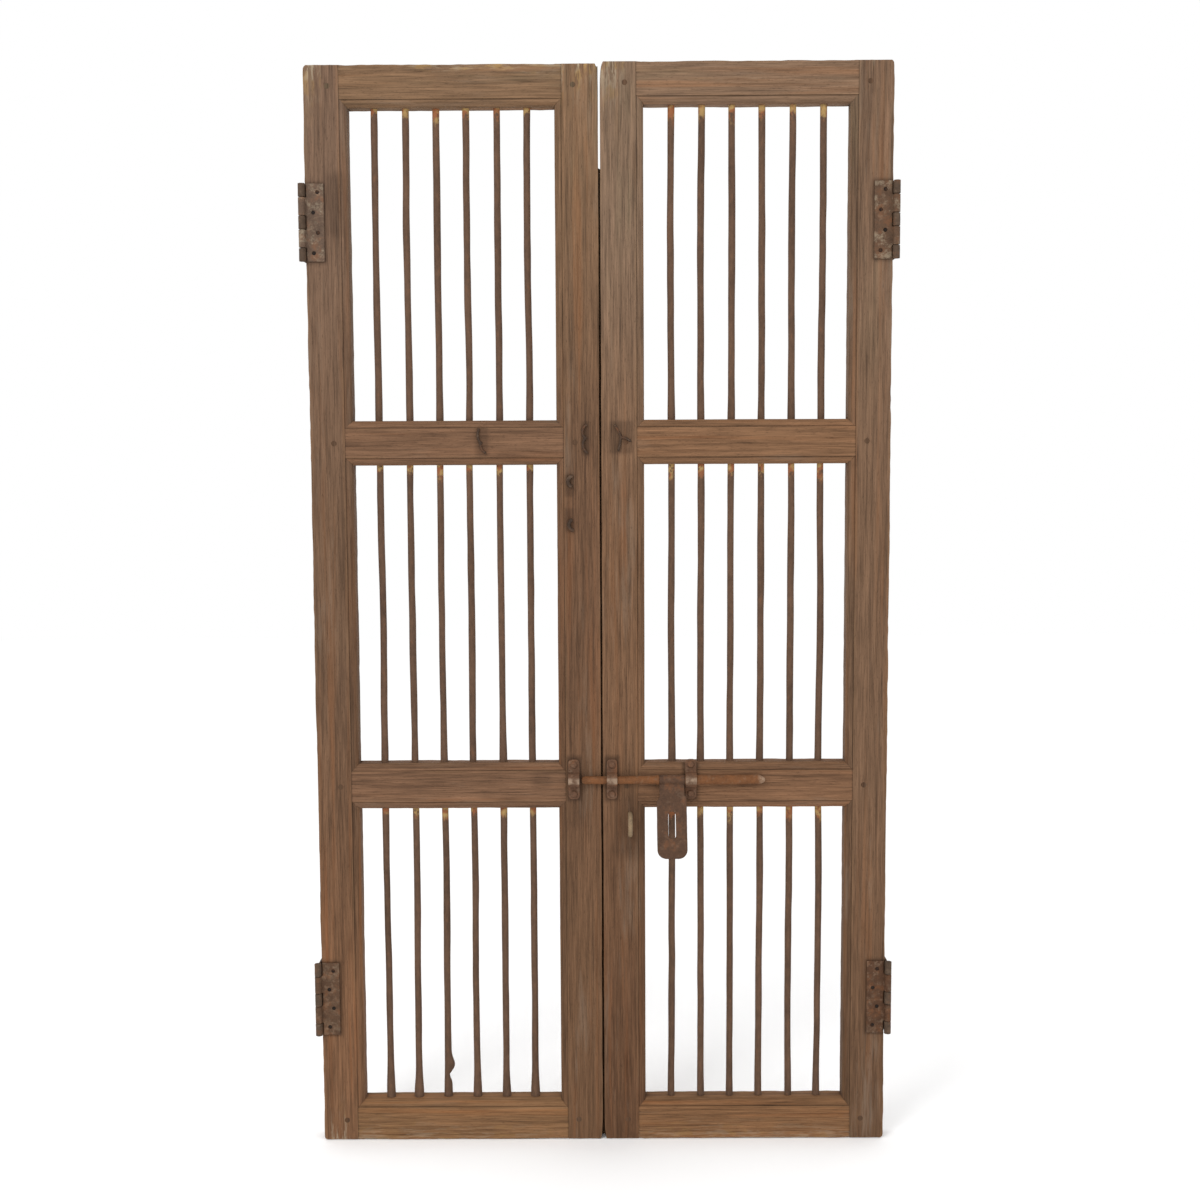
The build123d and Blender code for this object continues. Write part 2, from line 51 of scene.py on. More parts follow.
# The timber, in millimetres
THICK = 30.0
MOULD = 10.0
QUIRK = 1.5
MOULD_DEPTH = 6.5
SEAM_SHAPES = {  # the meeting edge's outline in plan, from front to back
    "left": [(-0.8, 0), (-0.8, 16), (6, 16), (6, THICK)],
    "right": [(1.1, 0), (1.1, 14), (10, 14), (10, THICK)],
}
TONGUE_BREAK = 134.0
HIDDEN_DEPTH = 20.0  # how deep a rail's mitred end reaches into the stile
RING_STEP = 3.0
MITRE_STEP = 1.0
SIDE_STEP = 5.0
FACE_STEP = 2.0
WEAR_WIDTH = 1.8
# strength of the painted shade in the mouldings' quirks and, faintly, on their ovolos
QUIRK_SHADE = 0.75

# The bars, in millimetres or as a share of the radius
BAR_UNEVEN = 0.05
BAR_SIDES = 14
BAR_STEP = 3.5
SWOLLEN_FEET = (0.30, 0.48)
SLIGHT_SWELL = (0.04, 0.16)
BULGED_BAR = ("left", 4)
BULGE_Z = 100
NOTCH_Z = 84

# The timber's ends and stains, in millimetres
CORNER_R = 5.0
ROUND_STEPS = np.array([0, 0.25, 0.6, 1.0, 1.5, 2.2])
EDGE_DRIPS = (-374, 97, 34)  # place, height and reach of the paint drips below the left lower hinge
FOOT_SPLASH = (-341, 27)
# stains, dirt with painted shade round the iron, and the painted shadow of the hasp
STAIN_AND_SHADE_MARKS = {  # left, right, low, high, softness and strength of each dark mark
    "left": [(-347, -338, 1225, 1290, 10, 0.40), (-46, -29, 470, 529, 2.5, 0.60),
             (-22, -16, 934, 974, 3, 0.45),
             (-45, -37, 834, 860, 3, 0.45), (-45, -37, 880, 905, 3, 0.45), (-162, -150, 934, 968, 3, 0.40),
             (-88, -74, 494, 504, 7, 0.30), (-48, -30, 440, 470, 9, 0.22)],
    "right": [(5, 22, 470, 529, 2.5, 0.60), (110, 128, 470, 529, 2.5, 0.60), (24, 50, 402, 470, 13, 0.40),
              (15, 40, 936, 974, 3, 0.45), (60, 108, 488, 494, 5, 0.22)],
}


# ---------- finishes ----------

def linear(red, green, blue):
    """A screen colour, 0 to 255, as the light it stands for."""
    return tuple(((v / 255 + 0.055) / 1.055) ** 2.4 for v in (red, green, blue)) + (1.0,)


class Tone:
    """A number, colour or direction that varies over a surface."""

    def __init__(self, finish, socket):
        self.finish, self.socket = finish, socket

    def is_number(self):
        return self.socket.type == "VALUE"

    def __add__(self, other):
        return self.finish.combine("ADD", self, other)

    def __sub__(self, other):
        return self.finish.combine("SUBTRACT", self, other)

    def __rsub__(self, other):
        return self.finish.combine("SUBTRACT", other, self)

    def __mul__(self, other):
        return self.finish.combine("MULTIPLY", self, other)

    __radd__, __rmul__ = __add__, __mul__


class Finish:
    """A material under construction."""

    def __init__(self, name, **constants):
        self.material = bpy.data.materials.new(name)
        self.material.use_nodes = True
        self.tree = self.material.node_tree
        self.surface = self.tree.nodes["Principled BSDF"]
        for socket, value in constants.items():
            self.surface.inputs[socket.replace("_", " ")].default_value = value
        self.place = self.node("ShaderNodeTexCoord", output="Object")

    def node(self, kind, settings=(), sockets=(), output=0):
        """Any node: its settings first, then the values or links of its sockets."""
        made = self.tree.nodes.new(kind)
        for key, value in dict(settings).items():
            setattr(made, key, value)
        for key, value in dict(sockets).items():
            self.feed(made.inputs[key], value)
        return Tone(self, made.outputs[output])

    def feed(self, socket, value):
        if isinstance(value, Tone):
            self.tree.links.new(value.socket, socket)
        else:
            socket.default_value = value

    def combine(self, operation, first, second):
        """Math on numbers, Vector Math as soon as a colour or a direction is in it."""
        numbers = [not isinstance(v, (Tone, tuple)) or (isinstance(v, Tone) and v.is_number())
                   for v in (first, second)]
        if all(numbers):
            return self.node("ShaderNodeMath", {"operation": operation}, {0: first, 1: second})
        pair = [v if isinstance(v, Tone) else tuple(v)[:3] if isinstance(v, tuple) else (v, v, v)
                for v in (first, second)]
        return self.node("ShaderNodeVectorMath", {"operation": operation}, {0: pair[0], 1: pair[1]})

    def mix(self, amount, first, second):
        """From the first colour to the second."""
        return self.node("ShaderNodeMix", {"data_type": "RGBA"}, {0: amount, 6: first, 7: second}, 2)

    def noise(self, scale, stretch=(1, 1, 1), detail=3.0, roughness=0.6, shift=0.0):
        """Smooth blotches, scale to the metre, drawn out where stretch is small."""
        place = self.place * tuple(stretch) + (shift, shift * 0.7, shift * 0.3)
        return self.node("ShaderNodeTexNoise", (),
                         {"Vector": place, "Scale": scale, "Detail": detail, "Roughness": roughness})

    def ease(self, value, low, high):
        """0 below low, 1 above high, smooth between them; falls if low is above high."""
        span = {"Value": value, "From Min": min(low, high), "From Max": max(low, high)}
        span.update({"To Min": 0.0, "To Max": 1.0} if low < high else {"To Min": 1.0, "To Max": 0.0})
        return self.node("ShaderNodeMapRange", {"interpolation_type": "SMOOTHSTEP"}, span)

    def axis(self, name):
        return self.node("ShaderNodeSeparateXYZ", (), {0: self.place}, name)

    def painted(self, name):
        """A number stored on the mesh's points."""
        return self.node("ShaderNodeAttribute", {"attribute_name": name}, (), "Fac")

    def close(self, colour, roughness, height, depth, strength=1.0):
        """Joins the finished colour, roughness and relief to the surface."""
        self.feed(self.surface.inputs["Base Color"], colour)
        self.feed(self.surface.inputs["Roughness"], roughness)
        relief = self.node("ShaderNodeBump", (), {"Strength": strength, "Distance": depth, "Height": height})
        self.feed(self.surface.inputs["Normal"], relief)
        return self.material


TEAK_LIGHT = (0.70, 0.67, 0.62)  # takes the studio light off the tones
IRON_LIGHT = (0.80, 0.76, 0.70)
GREY_WASH = linear(120, 102, 86)
MOSSY_GREY = linear(100, 88, 68)
# dirt in the pores and stains, and also the colour of painted shade
DARK_GRIME_AND_SHADE = linear(38, 27, 20)
PALE_PAINT = linear(176, 162, 138)
YELLOW_PAINT = linear(176, 144, 90)
RAW_EDGE = linear(132, 102, 74)
OCHRE = linear(150, 92, 56)
ORANGE_RUST = linear(116, 70, 38)
DARK_RUST = linear(52, 36, 28)
WORN_METAL = linear(132, 110, 90)
BRIGHT_METAL = linear(178, 158, 136)


def teak(name, grain, tones, seed, washed=0.0, specks=0.0):
    """Old bare teak. grain is the axis it runs along, tones its colour from the foot up."""
    f = Finish(name, Specular_IOR_Level=0.12)
    draw = {"Z": (1, 1, 0.03), "X": (0.03, 1, 1)}[grain]
    short = {"Z": (1, 1, 0.10), "X": (0.10, 1, 1)}[grain]
    low, middle, high = tones
    height = f.axis("Z")
    base = f.mix(f.ease(height, 0.15, 0.70), low, middle)
    base = f.mix(f.ease(height, 0.78, 1.30), base, high)
    bands = f.noise(230, draw, 6, 0.72, seed)
    fibre = f.noise(800, draw, 3, 0.6, seed + 3)
    pores = f.ease(f.noise(1300, short, 2, 0.5, seed + 5), 0.62, 0.74)
    blotch = f.noise(11, short, 4, 0.65, seed + 7)
    scuff = f.noise(45, short, 4, 0.7, seed + 9)
    shade = bands * 2.2 + fibre * 1.3 + blotch * 1.1 - 1.30
    colour = base * shade * TEAK_LIGHT
    mossy = f.ease(f.noise(17, short, 4, 0.7, seed + 21), 0.50, 0.66) * f.ease(height, 0.9, 1.4)
    colour = f.mix(mossy * 0.55, colour, MOSSY_GREY * shade)
    streak = f.ease(f.noise(170, draw, 5, 0.75, seed + 11), 0.54, 0.68)
    colour = f.mix(streak * 0.62, colour, base * (0.30, 0.28, 0.27))
    warm = f.ease(f.noise(70, draw, 3, 0.6, seed + 12), 0.50, 0.70)
    colour = f.mix(warm * 0.45, colour, base * (1.12, 0.82, 0.56))
    colour = f.mix(f.ease(scuff, 0.55, 0.72) * (0.30 + washed), colour, GREY_WASH)
    colour = f.mix(pores * 0.30, colour, DARK_GRIME_AND_SHADE)
    worn = f.painted("worn")
    bare = worn * f.ease(f.noise(120, short, 3, 0.6, seed + 13), 0.34, 0.60)
    colour = f.mix(bare * 0.60, colour, RAW_EDGE)
    # stains, dark joints and dirt, with painted shade in the quirks, round the iron and behind the hasp
    colour = f.mix(f.painted("grime_and_shade") * 0.82, colour, DARK_GRIME_AND_SHADE)
    if specks:
        spot = f.ease(f.noise(210, short, 4, 0.75, seed + 15), 0.47, 0.58)
        patch = f.ease(f.noise(20, short, 3, 0.6, seed + 17), 0.45, 0.60)
        yellow = f.ease(f.noise(45, (1, 1, 1), 1, 0.5, seed + 19), 0.45, 0.60)
        paint = f.mix(yellow, PALE_PAINT, YELLOW_PAINT)
        colour = f.mix(spot * patch * f.painted("paint") * specks, colour, paint)
    relief = bands * 0.8 + fibre * 0.5 - pores * 0.5 - streak * 0.4
    return f.close(colour, 0.70 + blotch * 0.16, relief, 0.0007, 0.7)


def rusted(name, tone, seed, rubbed=0.25, specks=0.0, bright=None):
    """Old wrought iron, brown with orange rust and dark pits. bright is an axis and where along it
    the metal starts to turn bright and turns fully bright: rubbed wear, with a painted highlight on the
    straps' fronts."""
    f = Finish(name, Specular_IOR_Level=0.2)
    coarse = f.noise(70, (1, 1, 1), 5, 0.65, seed)
    fine = f.noise(420, (1, 1, 1), 4, 0.7, seed + 2)
    colour = (coarse * 0.85 + fine * 0.75 - 0.10) * tone * IRON_LIGHT
    colour = f.mix(f.ease(coarse, 0.50, 0.68) * 0.35, colour, ORANGE_RUST)
    colour = f.mix(f.ease(fine, 0.60, 0.74) * 0.40, colour, DARK_RUST)
    high_spots = f.ease(f.noise(160, (1, 1, 1), 3, 0.6, seed + 4), 0.54, 0.70)
    colour = f.mix(high_spots * rubbed, colour, WORN_METAL)
    if specks:
        spot = f.ease(f.noise(55, (1, 1, 1), 5, 0.8, seed + 6), 0.50, 0.66)
        colour = f.mix(spot * specks, colour, PALE_PAINT)
    if bright:
        axis, start, full = bright
        # rubbed bright metal; on the straps' fronts it is also a painted highlight
        wear_and_highlight = f.ease(f.axis(axis), start, full) * f.ease(coarse, 0.30, 0.60)
        colour = f.mix(wear_and_highlight * 0.45, colour, BRIGHT_METAL)
    return f.close(colour, 0.62 + fine * 0.24, fine * 0.6 + coarse, 0.0006, 0.8)


def bar_iron(name, tone, seed, opening_tops):
    """A thin iron bar, ochre with old rust and paint just under each rail."""
    f = Finish(name, Specular_IOR_Level=0.2)
    fine = f.noise(260, (1, 1, 0.35), 4, 0.7, seed)
    coarse = f.noise(26, (1, 1, 0.5), 3, 0.6, seed + 2)
    colour = (fine * 0.80 + coarse * 0.60 - 0.02) * tone * IRON_LIGHT
    colour = f.mix(f.ease(fine, 0.58, 0.72) * 0.30, colour, ORANGE_RUST)
    height = f.axis("Z")
    lengths = f.noise(30, (1, 1, 0.0), 1, 0.5, seed + 8) * 1.5 + 0.25
    under = 0.0
    for top, reach in opening_tops:
        below = f.ease((height - top) * lengths + top, top - reach, top)
        along = below * f.ease(height, top + 0.002, top)
        under = along + under
    patchy = f.ease(f.noise(120, (1, 1, 0.8), 4, 0.8, seed + 4) + under * 0.34, 0.66, 0.80)
    paint = f.mix(f.ease(f.noise(90, (1, 1, 1), 1, 0.5, seed + 6), 0.42, 0.58), OCHRE, YELLOW_PAINT)
    colour = f.mix(patchy * under * 0.80, colour, paint)
    return f.close(colour, 0.66 + fine * 0.24, fine + coarse, 0.0005, 0.7)


# ---------- worn timber ----------

def soft_field(rng, rows, cols, row_cell, col_cell):
    """Smooth random numbers from -1 to 1, with features row_cell by col_cell points across."""
    across, along = np.arange(rows) / row_cell, np.arange(cols) / col_cell
    i, j = across.astype(int), along.astype(int)
    f, g = across - i, along - j
    f, g = (f * f * (3 - 2 * f))[:, None], (g * g * (3 - 2 * g))[None, :]
    knots = rng.uniform(-1, 1, (i[-1] + 2, j[-1] + 2))
    near = knots[i][:, j] * (1 - g) + knots[i][:, j + 1] * g
    far = knots[i + 1][:, j] * (1 - g) + knots[i + 1][:, j + 1] * g
    return near * (1 - f) + far * f


def mould_depth(inset):
    """Depth of the ovolo behind the face, at a distance in from the opening's edge."""
    return MOULD_DEPTH - 1.269 * inset + 0.0769 * inset * inset


def mould_run(edge, inward):
    """The moulded corner in plan, from the quirk to the opening's edge: place, depth, wear, painted shade,
    step.
    """
    # the fourth number is painted shade: strong in the quirk, faint on the ovolo
    run = [(edge + inward * MOULD, 0, 0.55, 0.0, 0.5), (edge + inward * (MOULD - 0.6), QUIRK, 0, 0.80, 1.0)]
    for inset in (8.6, 7.0, 5.2, 3.4, 1.8, 0.8):
        run.append((edge + inward * inset, mould_depth(inset), 0.10, 0.10, 1.4))
    run.append((edge, MOULD_DEPTH, 0.55, 0.0, SIDE_STEP))
    return run


def trace(corners):
    """Closes corners into an evenly stepped outline: points, inward normals, wear and painted shade."""
    points, wear, mould_shade = [], [], []
    for (x, y, w, g, step), (nx, ny, nw, ng, _) in zip(corners, corners[1:] + corners[:1]):
        length = math.hypot(nx - x, ny - y)
        count = max(1, round(length / step))
        for k in range(count):
            t = k / count
            points.append((x + (nx - x) * t, y + (ny - y) * t))
            from_start, from_end = length * t, length * (1 - t)
            wear.append(max(w * math.exp(-(from_start / WEAR_WIDTH) ** 2),
                            nw * math.exp(-(from_end / WEAR_WIDTH) ** 2)))
            mould_shade.append(max(g * math.exp(-(from_start / 1.0) ** 2), ng * math.exp(-(from_end / 1.0) ** 2)))
    points = np.array(points)
    turn = np.roll(points, -1, 0) - np.roll(points, 1, 0)
    turn /= np.linalg.norm(turn, axis=1)[:, None]
    x, y = points.T
    area = np.sum(x * np.roll(y, -1) - np.roll(x, -1) * y)
    normals = np.stack([-turn[:, 1], turn[:, 0]], 1) * np.sign(area)
    return points, normals, np.array(wear), np.array(mould_shade)


def weather(rng, rings, wear):
    """How far each point of the timber has worn in, in millimetres."""
    count, around = rings, len(wear)
    slow = soft_field(rng, count, around, 60, 9)
    grainy = soft_field(rng, count, around, 26, 1.6)
    knocks = soft_field(rng, count, around, 7, 3)
    edge = soft_field(rng, count, around, 11, 6) * 0.5 + soft_field(rng, count, around, 3.5, 4) * 0.35
    worn = 0.22 + 0.12 * slow + 0.13 * grainy + 0.25 * np.clip(knocks - 0.62, 0, 1)
    return worn + wear[None, :] * np.clip(0.55 + edge, 0.05, 2.0)


def skin(name, rings, marks):
    """Closes rings of points, in millimetres, into a mesh that carries the named marks."""
    count, around = rings.shape[:2]
    index = np.arange(count * around).reshape(count, around)
    right = np.roll(index, -1, axis=1)
    quads = np.stack([index[:-1], right[:-1], right[1:], index[1:]], -1).reshape(-1, 4)
    mesh = bpy.data.meshes.new(name)
    caps = [index[0][::-1].tolist(), index[-1].tolist()]
    mesh.from_pydata((rings.reshape(-1, 3) * MM).tolist(), [], quads.tolist() + caps)
    shell = bmesh.new()
    shell.from_mesh(mesh)
    bmesh.ops.triangulate(shell, faces=[f for f in shell.faces if len(f.verts) > 4])
    bmesh.ops.recalc_face_normals(shell, faces=shell.faces)
    shell.to_mesh(mesh)
    shell.free()
    for mark, values in marks.items():
        mesh.attributes.new(mark, "FLOAT", "POINT").data.foreach_set("value", values.astype(float).ravel())
    mesh.shade_smooth()
    mesh.set_sharp_from_angle(angle=math.radians(50))
    piece = bpy.data.objects.new(name, mesh)
    bpy.context.scene.collection.objects.link(piece)
    return piece


def stand_in(piece, node, body, material):
    """The piece takes the node's place on its body."""
    piece.data.materials.append(material)
    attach(piece, body)
    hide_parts(node)


def box_mm(node):
    low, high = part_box(node)
    return [v / MM for v in low], [v / MM for v in high]


def rail_edges(side):
    """Foot and top of each rail on a leaf."""
    return {rail: (box_mm(f"{side}_{rail}")[0][2], box_mm(f"{side}_{rail}")[1][2]) for rail in RAILS}


def opening_edges(side):
    """The inner edges of the meeting stile and of the hinge stile."""
    sign = SIDES[side]
    low, high = box_mm(f"{side}_hinge_stile")
    hinge = low[0] if sign > 0 else high[0]
    low, high = box_mm(f"{side}_meeting_stile")
    meeting = high[0] if sign > 0 else low[0]
    return meeting, hinge


def stile_outline(side, kind):
    """Plan of a stile: its moulded inner edge and whatever is on the far side."""
    sign = SIDES[side]
    meeting, hinge = opening_edges(side)
    if kind == "hinge":
        low, high = box_mm(f"{side}_hinge_stile")
        outer = high[0] if sign > 0 else low[0]
        run = mould_run(hinge, sign)
        far = [(outer, 0, 1.0, 0, FACE_STEP), (outer, THICK, 0.8, 0, SIDE_STEP)]
    else:
        run = mould_run(meeting, -sign)
        far = [(x, y, w, 0, s) for (x, y), w, s in zip(SEAM_SHAPES[side], (0.45, 0, 0.6, 0.8),
                                                      (FACE_STEP, SIDE_STEP, SIDE_STEP, SIDE_STEP))]
    edge = run[-1][0]
    back = [(edge, THICK, 0.8, 0, SIDE_STEP)]
    far_back = [(x, y, w, g, s) for x, y, w, g, s in reversed(far)]
    outline = [far[0][:4] + (FACE_STEP,)] + run + back + far_back[:-1]
    return outline


def end_marks(along, start, end, reach):
    """1 at either end of a length, fading inwards."""
    return np.maximum(np.exp(-(along - start) / reach), np.exp(-(end - along) / reach))


def stains_and_shade(side, rings):
    """Dark marks on the front: dirt with painted shade round the iron, the hasp's painted shadow, and a
    stain by the left upper hinge.
    """
    x, y, z = np.moveaxis(rings, -1, 0)
    dark = np.zeros_like(x)
    for left, right, low, high, soft, strength in STAIN_AND_SHADE_MARKS[side] + plate_marks(side):
        out = np.hypot(np.clip(np.maximum(left - x, x - right), 0, None),
                       np.clip(np.maximum(low - z, z - high), 0, None))
        dark = np.maximum(dark, strength * np.exp(-(out / soft) ** 2))
    return np.where(y < MOULD_DEPTH + 1.5, dark, 0)


def plate_marks(side):
    """The rust and shade round each hinge plate."""
    marks = []
    for level in ("upper", "lower"):
        low, high = box_mm(f"{side}_{level}_leaf_plate")
        marks.append((low[0], high[0], low[2], high[2], 3.0, 0.55))
    return marks


def make_stile(side, kind, seed, material):
    rng = np.random.default_rng(seed)
    node = f"{side}_{kind}_stile"
    top = box_mm(node)[1][2]
    points, normals, wear, mould_shade = trace(stile_outline(side, kind))
    heights = np.unique(np.concatenate([np.arange(0, top, RING_STEP), ROUND_STEPS, top - ROUND_STEPS]))
    rows, around = len(heights), len(points)
    inset = weather(rng, rows, wear)
    near_end = end_marks(heights, 0, top, 1.2)[:, None]
    inset = inset + near_end * (0.5 + 0.4 * soft_field(rng, rows, around, 2, 3))
    plan = points[None] + normals[None] * inset[..., None]
    if kind == "meeting":
        plan = wear_meeting_corner(rng, side, plan, heights, top)
    else:
        plan = round_outer_corners(side, plan, heights, top)
    rise = np.repeat(heights[:, None], around, 1)
    sway = soft_field(rng, 1, around, 2, 3)[0]
    rise[-1] -= 0.5 + 0.5 * sway
    rise[0] += 0.5 - 0.4 * sway
    rings = np.concatenate([plan, rise[..., None]], -1)
    paint = stile_paint(side, kind, rings, top)
    joints = np.zeros_like(rise)
    for foot, head in rail_edges(side).values():
        for level in (foot, head):
            joints = np.maximum(joints, np.exp(-((rise - level) / 7) ** 2) * 0.16)
    inner = wear_near_edge(points, side, kind)
    # painted shade in the quirk, dark rail joints, and stains with painted shade round the iron
    grime_and_shade = np.maximum(mould_shade[None] * QUIRK_SHADE + joints * inner[None], stains_and_shade(side, rings))
    marks = {"worn": np.clip(np.repeat(wear[None], rows, 0) + near_end * 0.8, 0, 1),
             "grime_and_shade": np.clip(grime_and_shade, 0, 1),
             "paint": paint}
    stand_in(skin(f"{node}_wood", rings, marks), node, f"{side}_leaf", material)


def wear_near_edge(points, side, kind):
    """1 by the opening, where the rails meet the stile, fading across its face."""
    meeting, hinge = opening_edges(side)
    edge = hinge if kind == "hinge" else meeting
    return np.exp(-np.abs(points[:, 0] - edge) / 12)


def wear_meeting_corner(rng, side, plan, heights, top):
    """The meeting edges are knocked back at their top and foot, and the tongue is broken off at its top."""
    sign = SIDES[side]
    back_off = 4.2 * np.exp(-(top - heights) / 9) + 2.6 * np.exp(-heights / 12)
    back_off += 0.35 * soft_field(rng, 1, len(heights), 3, 22)[0]
    edge = SEAM_SHAPES[side][0][0]
    share = np.clip(1 - np.abs(plan[..., 0] - edge) / 26, 0, 1) ** 2
    front = np.clip(1 - plan[..., 1] / 40, 0.4, 1)
    plan[..., 0] += sign * np.clip(back_off, 0, 6)[:, None] * share * front
    if side == "left":
        gone = (heights > top - TONGUE_BREAK + 4 * np.sin(heights))[:, None]
        behind = (plan[..., 0] > edge - 0.3) & (plan[..., 1] > 10)
        plan[..., 0] = np.where(gone & behind, edge - 0.4, plan[..., 0])
    return plan


def round_outer_corners(side, plan, heights, top):
    """The outer corners of the leaf are rounded off at its top and foot."""
    outer = np.abs(plan[..., 0]).max()
    from_end = np.minimum(heights, top - heights)
    short = np.clip(CORNER_R - from_end, 0, CORNER_R)
    back_off = CORNER_R - np.sqrt(CORNER_R ** 2 - short ** 2)
    share = np.clip(1 - (outer - np.abs(plan[..., 0])) / 30, 0, 1)
    plan[..., 0] -= SIDES[side] * back_off[:, None] * share
    return plan


def stile_paint(side, kind, rings, top):
    """Where old paint still clings: under the top, and low on the left hinge stile."""
    height = rings[..., 2]
    paint = 0.75 * np.exp(-(top - height) / 26)
    if kind == "hinge":
        paint += (0.9 if side == "left" else 0.25) * np.exp(-height / 22)
        if side == "left":
            drip_x, drip_z, drip_reach = EDGE_DRIPS
            peg_x, peg_z = FOOT_SPLASH
            by_edge = np.exp(-((rings[..., 0] - drip_x) / 7) ** 2)
            paint += 1.6 * by_edge * np.clip(1 - np.abs(height - drip_z) / drip_reach, 0, 1)
            paint += 1.2 * np.exp(-(((rings[..., 0] - peg_x) / 9) ** 2 + ((height - peg_z) / 12) ** 2))
    return np.clip(paint, 0, 1)


def rail_outline(foot, top, moulded_foot, moulded_top):
    """Section of a rail: height, depth, wear, painted shade and step."""
    upper = [(z, y, w, g, s) for z, y, w, g, s in mould_run(top, -1)] if moulded_top else \
        [(top, 0, 1.0, 0, SIDE_STEP)]
    lower = mould_run(foot, 1)[::-1] if moulded_foot else [(foot, 0, 1.0, 0, FACE_STEP)]
    lower = [(z, y, w, g, FACE_STEP if y == 0 else 1.0) for z, y, w, g, _ in lower]
    return lower + upper + [(top, THICK, 0.8, 0, SIDE_STEP), (foot, THICK, 0.8, 0, SIDE_STEP)]


def make_rail(side, rail, seed, material):
    rng = np.random.default_rng(seed)
    foot, top = rail_edges(side)[rail]
    moulded_foot, moulded_top = rail != "bottom_rail", rail != "top_rail"
    points, normals, wear, mould_shade = trace(rail_outline(foot, top, moulded_foot, moulded_top))
    start, end = sorted(opening_edges(side))
    run = np.concatenate([start - np.arange(MOULD, 0, -MITRE_STEP), [start - 0.02],
                          np.arange(start, end, RING_STEP), [end, end + 0.02],
                          end + np.arange(MITRE_STEP, MOULD + 0.5, MITRE_STEP)])
    past = np.clip(np.maximum(start - run, run - end), 0, None)
    rows, around = len(run), len(points)
    inset = weather(rng, rows, wear)
    section = points[None] + normals[None] * inset[..., None]
    height, depth = section[..., 0], section[..., 1]
    in_stile = past > 0
    low_line = foot + (past if moulded_foot else 0 * past)
    high_line = top - (past if moulded_top else 0 * past)
    gap = 0.25
    cut = np.zeros((rows, around), bool)
    cut |= in_stile[:, None] & moulded_foot & (height < low_line[:, None] + gap)
    cut |= in_stile[:, None] & moulded_top & (height > high_line[:, None] - gap)
    height = np.where(in_stile[:, None] & moulded_foot, np.maximum(height, low_line[:, None] + gap), height)
    height = np.where(in_stile[:, None] & moulded_top, np.minimum(height, high_line[:, None] - gap), height)
    depth = np.where(in_stile[:, None], np.minimum(depth, HIDDEN_DEPTH), depth)
    at_tip = np.exp(-(MOULD - past) / 0.7) * (past > MOULD - 3)
    depth = depth + (at_tip * 0.35)[:, None] * (depth < 8)
    place = np.repeat(run[:, None], around, 1)
    rings = np.stack([place, depth, height], -1)
    joint = np.where(cut & (depth < HIDDEN_DEPTH - 0.5), 0.85, 0.0) + at_tip[:, None] * 0.75
    by_shoulder = np.exp(-np.abs(np.minimum(np.abs(run - start), np.abs(run - end))) / 1.2)
    behind = (depth > 12) * by_shoulder[:, None] * 0.7
    paint = np.zeros_like(height)
    if rail == "top_rail":
        paint += np.clip((height - (top - 26)) / 20, 0, 1)
    if rail == "bottom_rail":
        paint += 0.35 * np.exp(-(height - foot) / 12)
    # painted shade in the quirks, dark mitre joints, and stains with painted shade round the iron
    grime_and_shade = np.maximum(mould_shade[None] * QUIRK_SHADE + joint + behind, stains_and_shade(side, rings))
    marks = {"worn": np.repeat(wear[None], rows, 0),
             "grime_and_shade": np.clip(grime_and_shade, 0, 1),
             "paint": np.clip(paint, 0, 1)}
    node = f"{side}_{rail}"
    stand_in(skin(f"{node}_wood", rings, marks), node, f"{side}_leaf", material)


def make_bar(side, number, seed, material):
    """A hand-forged bar: never quite straight or round, and thicker at its foot."""
    rng = np.random.default_rng(seed)
    node = f"{side}_bar_{number}"
    low, high = box_mm(node)
    radius = (high[0] - low[0]) / 2
    around = BAR_SIDES
    heights = np.arange(low[2], high[2] + 1, BAR_STEP)
    rows = len(heights)
    angles = np.linspace(0, 2 * math.pi, around, endpoint=False)
    hammered = soft_field(rng, rows, around, 9, 5)
    drawn = soft_field(rng, rows, 1, 24, 1)
    size = radius * (1 + BAR_UNEVEN * hammered + BAR_UNEVEN * drawn)
    rail_tops = [top for foot, top in rail_edges(side).values()][:3]
    for top in rail_tops:
        swollen = SWOLLEN_FEET if (side, top) == ("left", rail_tops[0]) else SLIGHT_SWELL
        swell = np.exp(-((heights - top) / rng.uniform(24, 40)) ** 2) * rng.uniform(*swollen)
        size *= 1 + swell[:, None]
    if (side, number) == BULGED_BAR:
        rightwards = np.clip(np.cos(angles), 0, 1)[None]
        bulge = 0.85 * np.exp(-((heights - BULGE_Z) / 10) ** 2)
        bitten = 0.75 * np.exp(-((heights - NOTCH_Z) / 6) ** 2)
        size *= 1 + (bulge - bitten)[:, None] * rightwards
    bend = np.stack([soft_field(rng, 1, rows, 2, 48)[0] * 0.9 + soft_field(rng, 1, rows, 2, 15)[0] * 0.25
                     for _ in range(2)], -1)
    middle = np.array([(low[0] + high[0]) / 2, (low[1] + high[1]) / 2])
    place = middle + bend
    rings = np.stack([place[:, :1] + size * np.cos(angles), place[:, 1:] + size * np.sin(angles),
                      np.repeat(heights[:, None], around, 1)], -1)
    stand_in(skin(f"{node}_iron", rings, {}), node, f"{side}_leaf", material)


# ---------- ironwork ----------

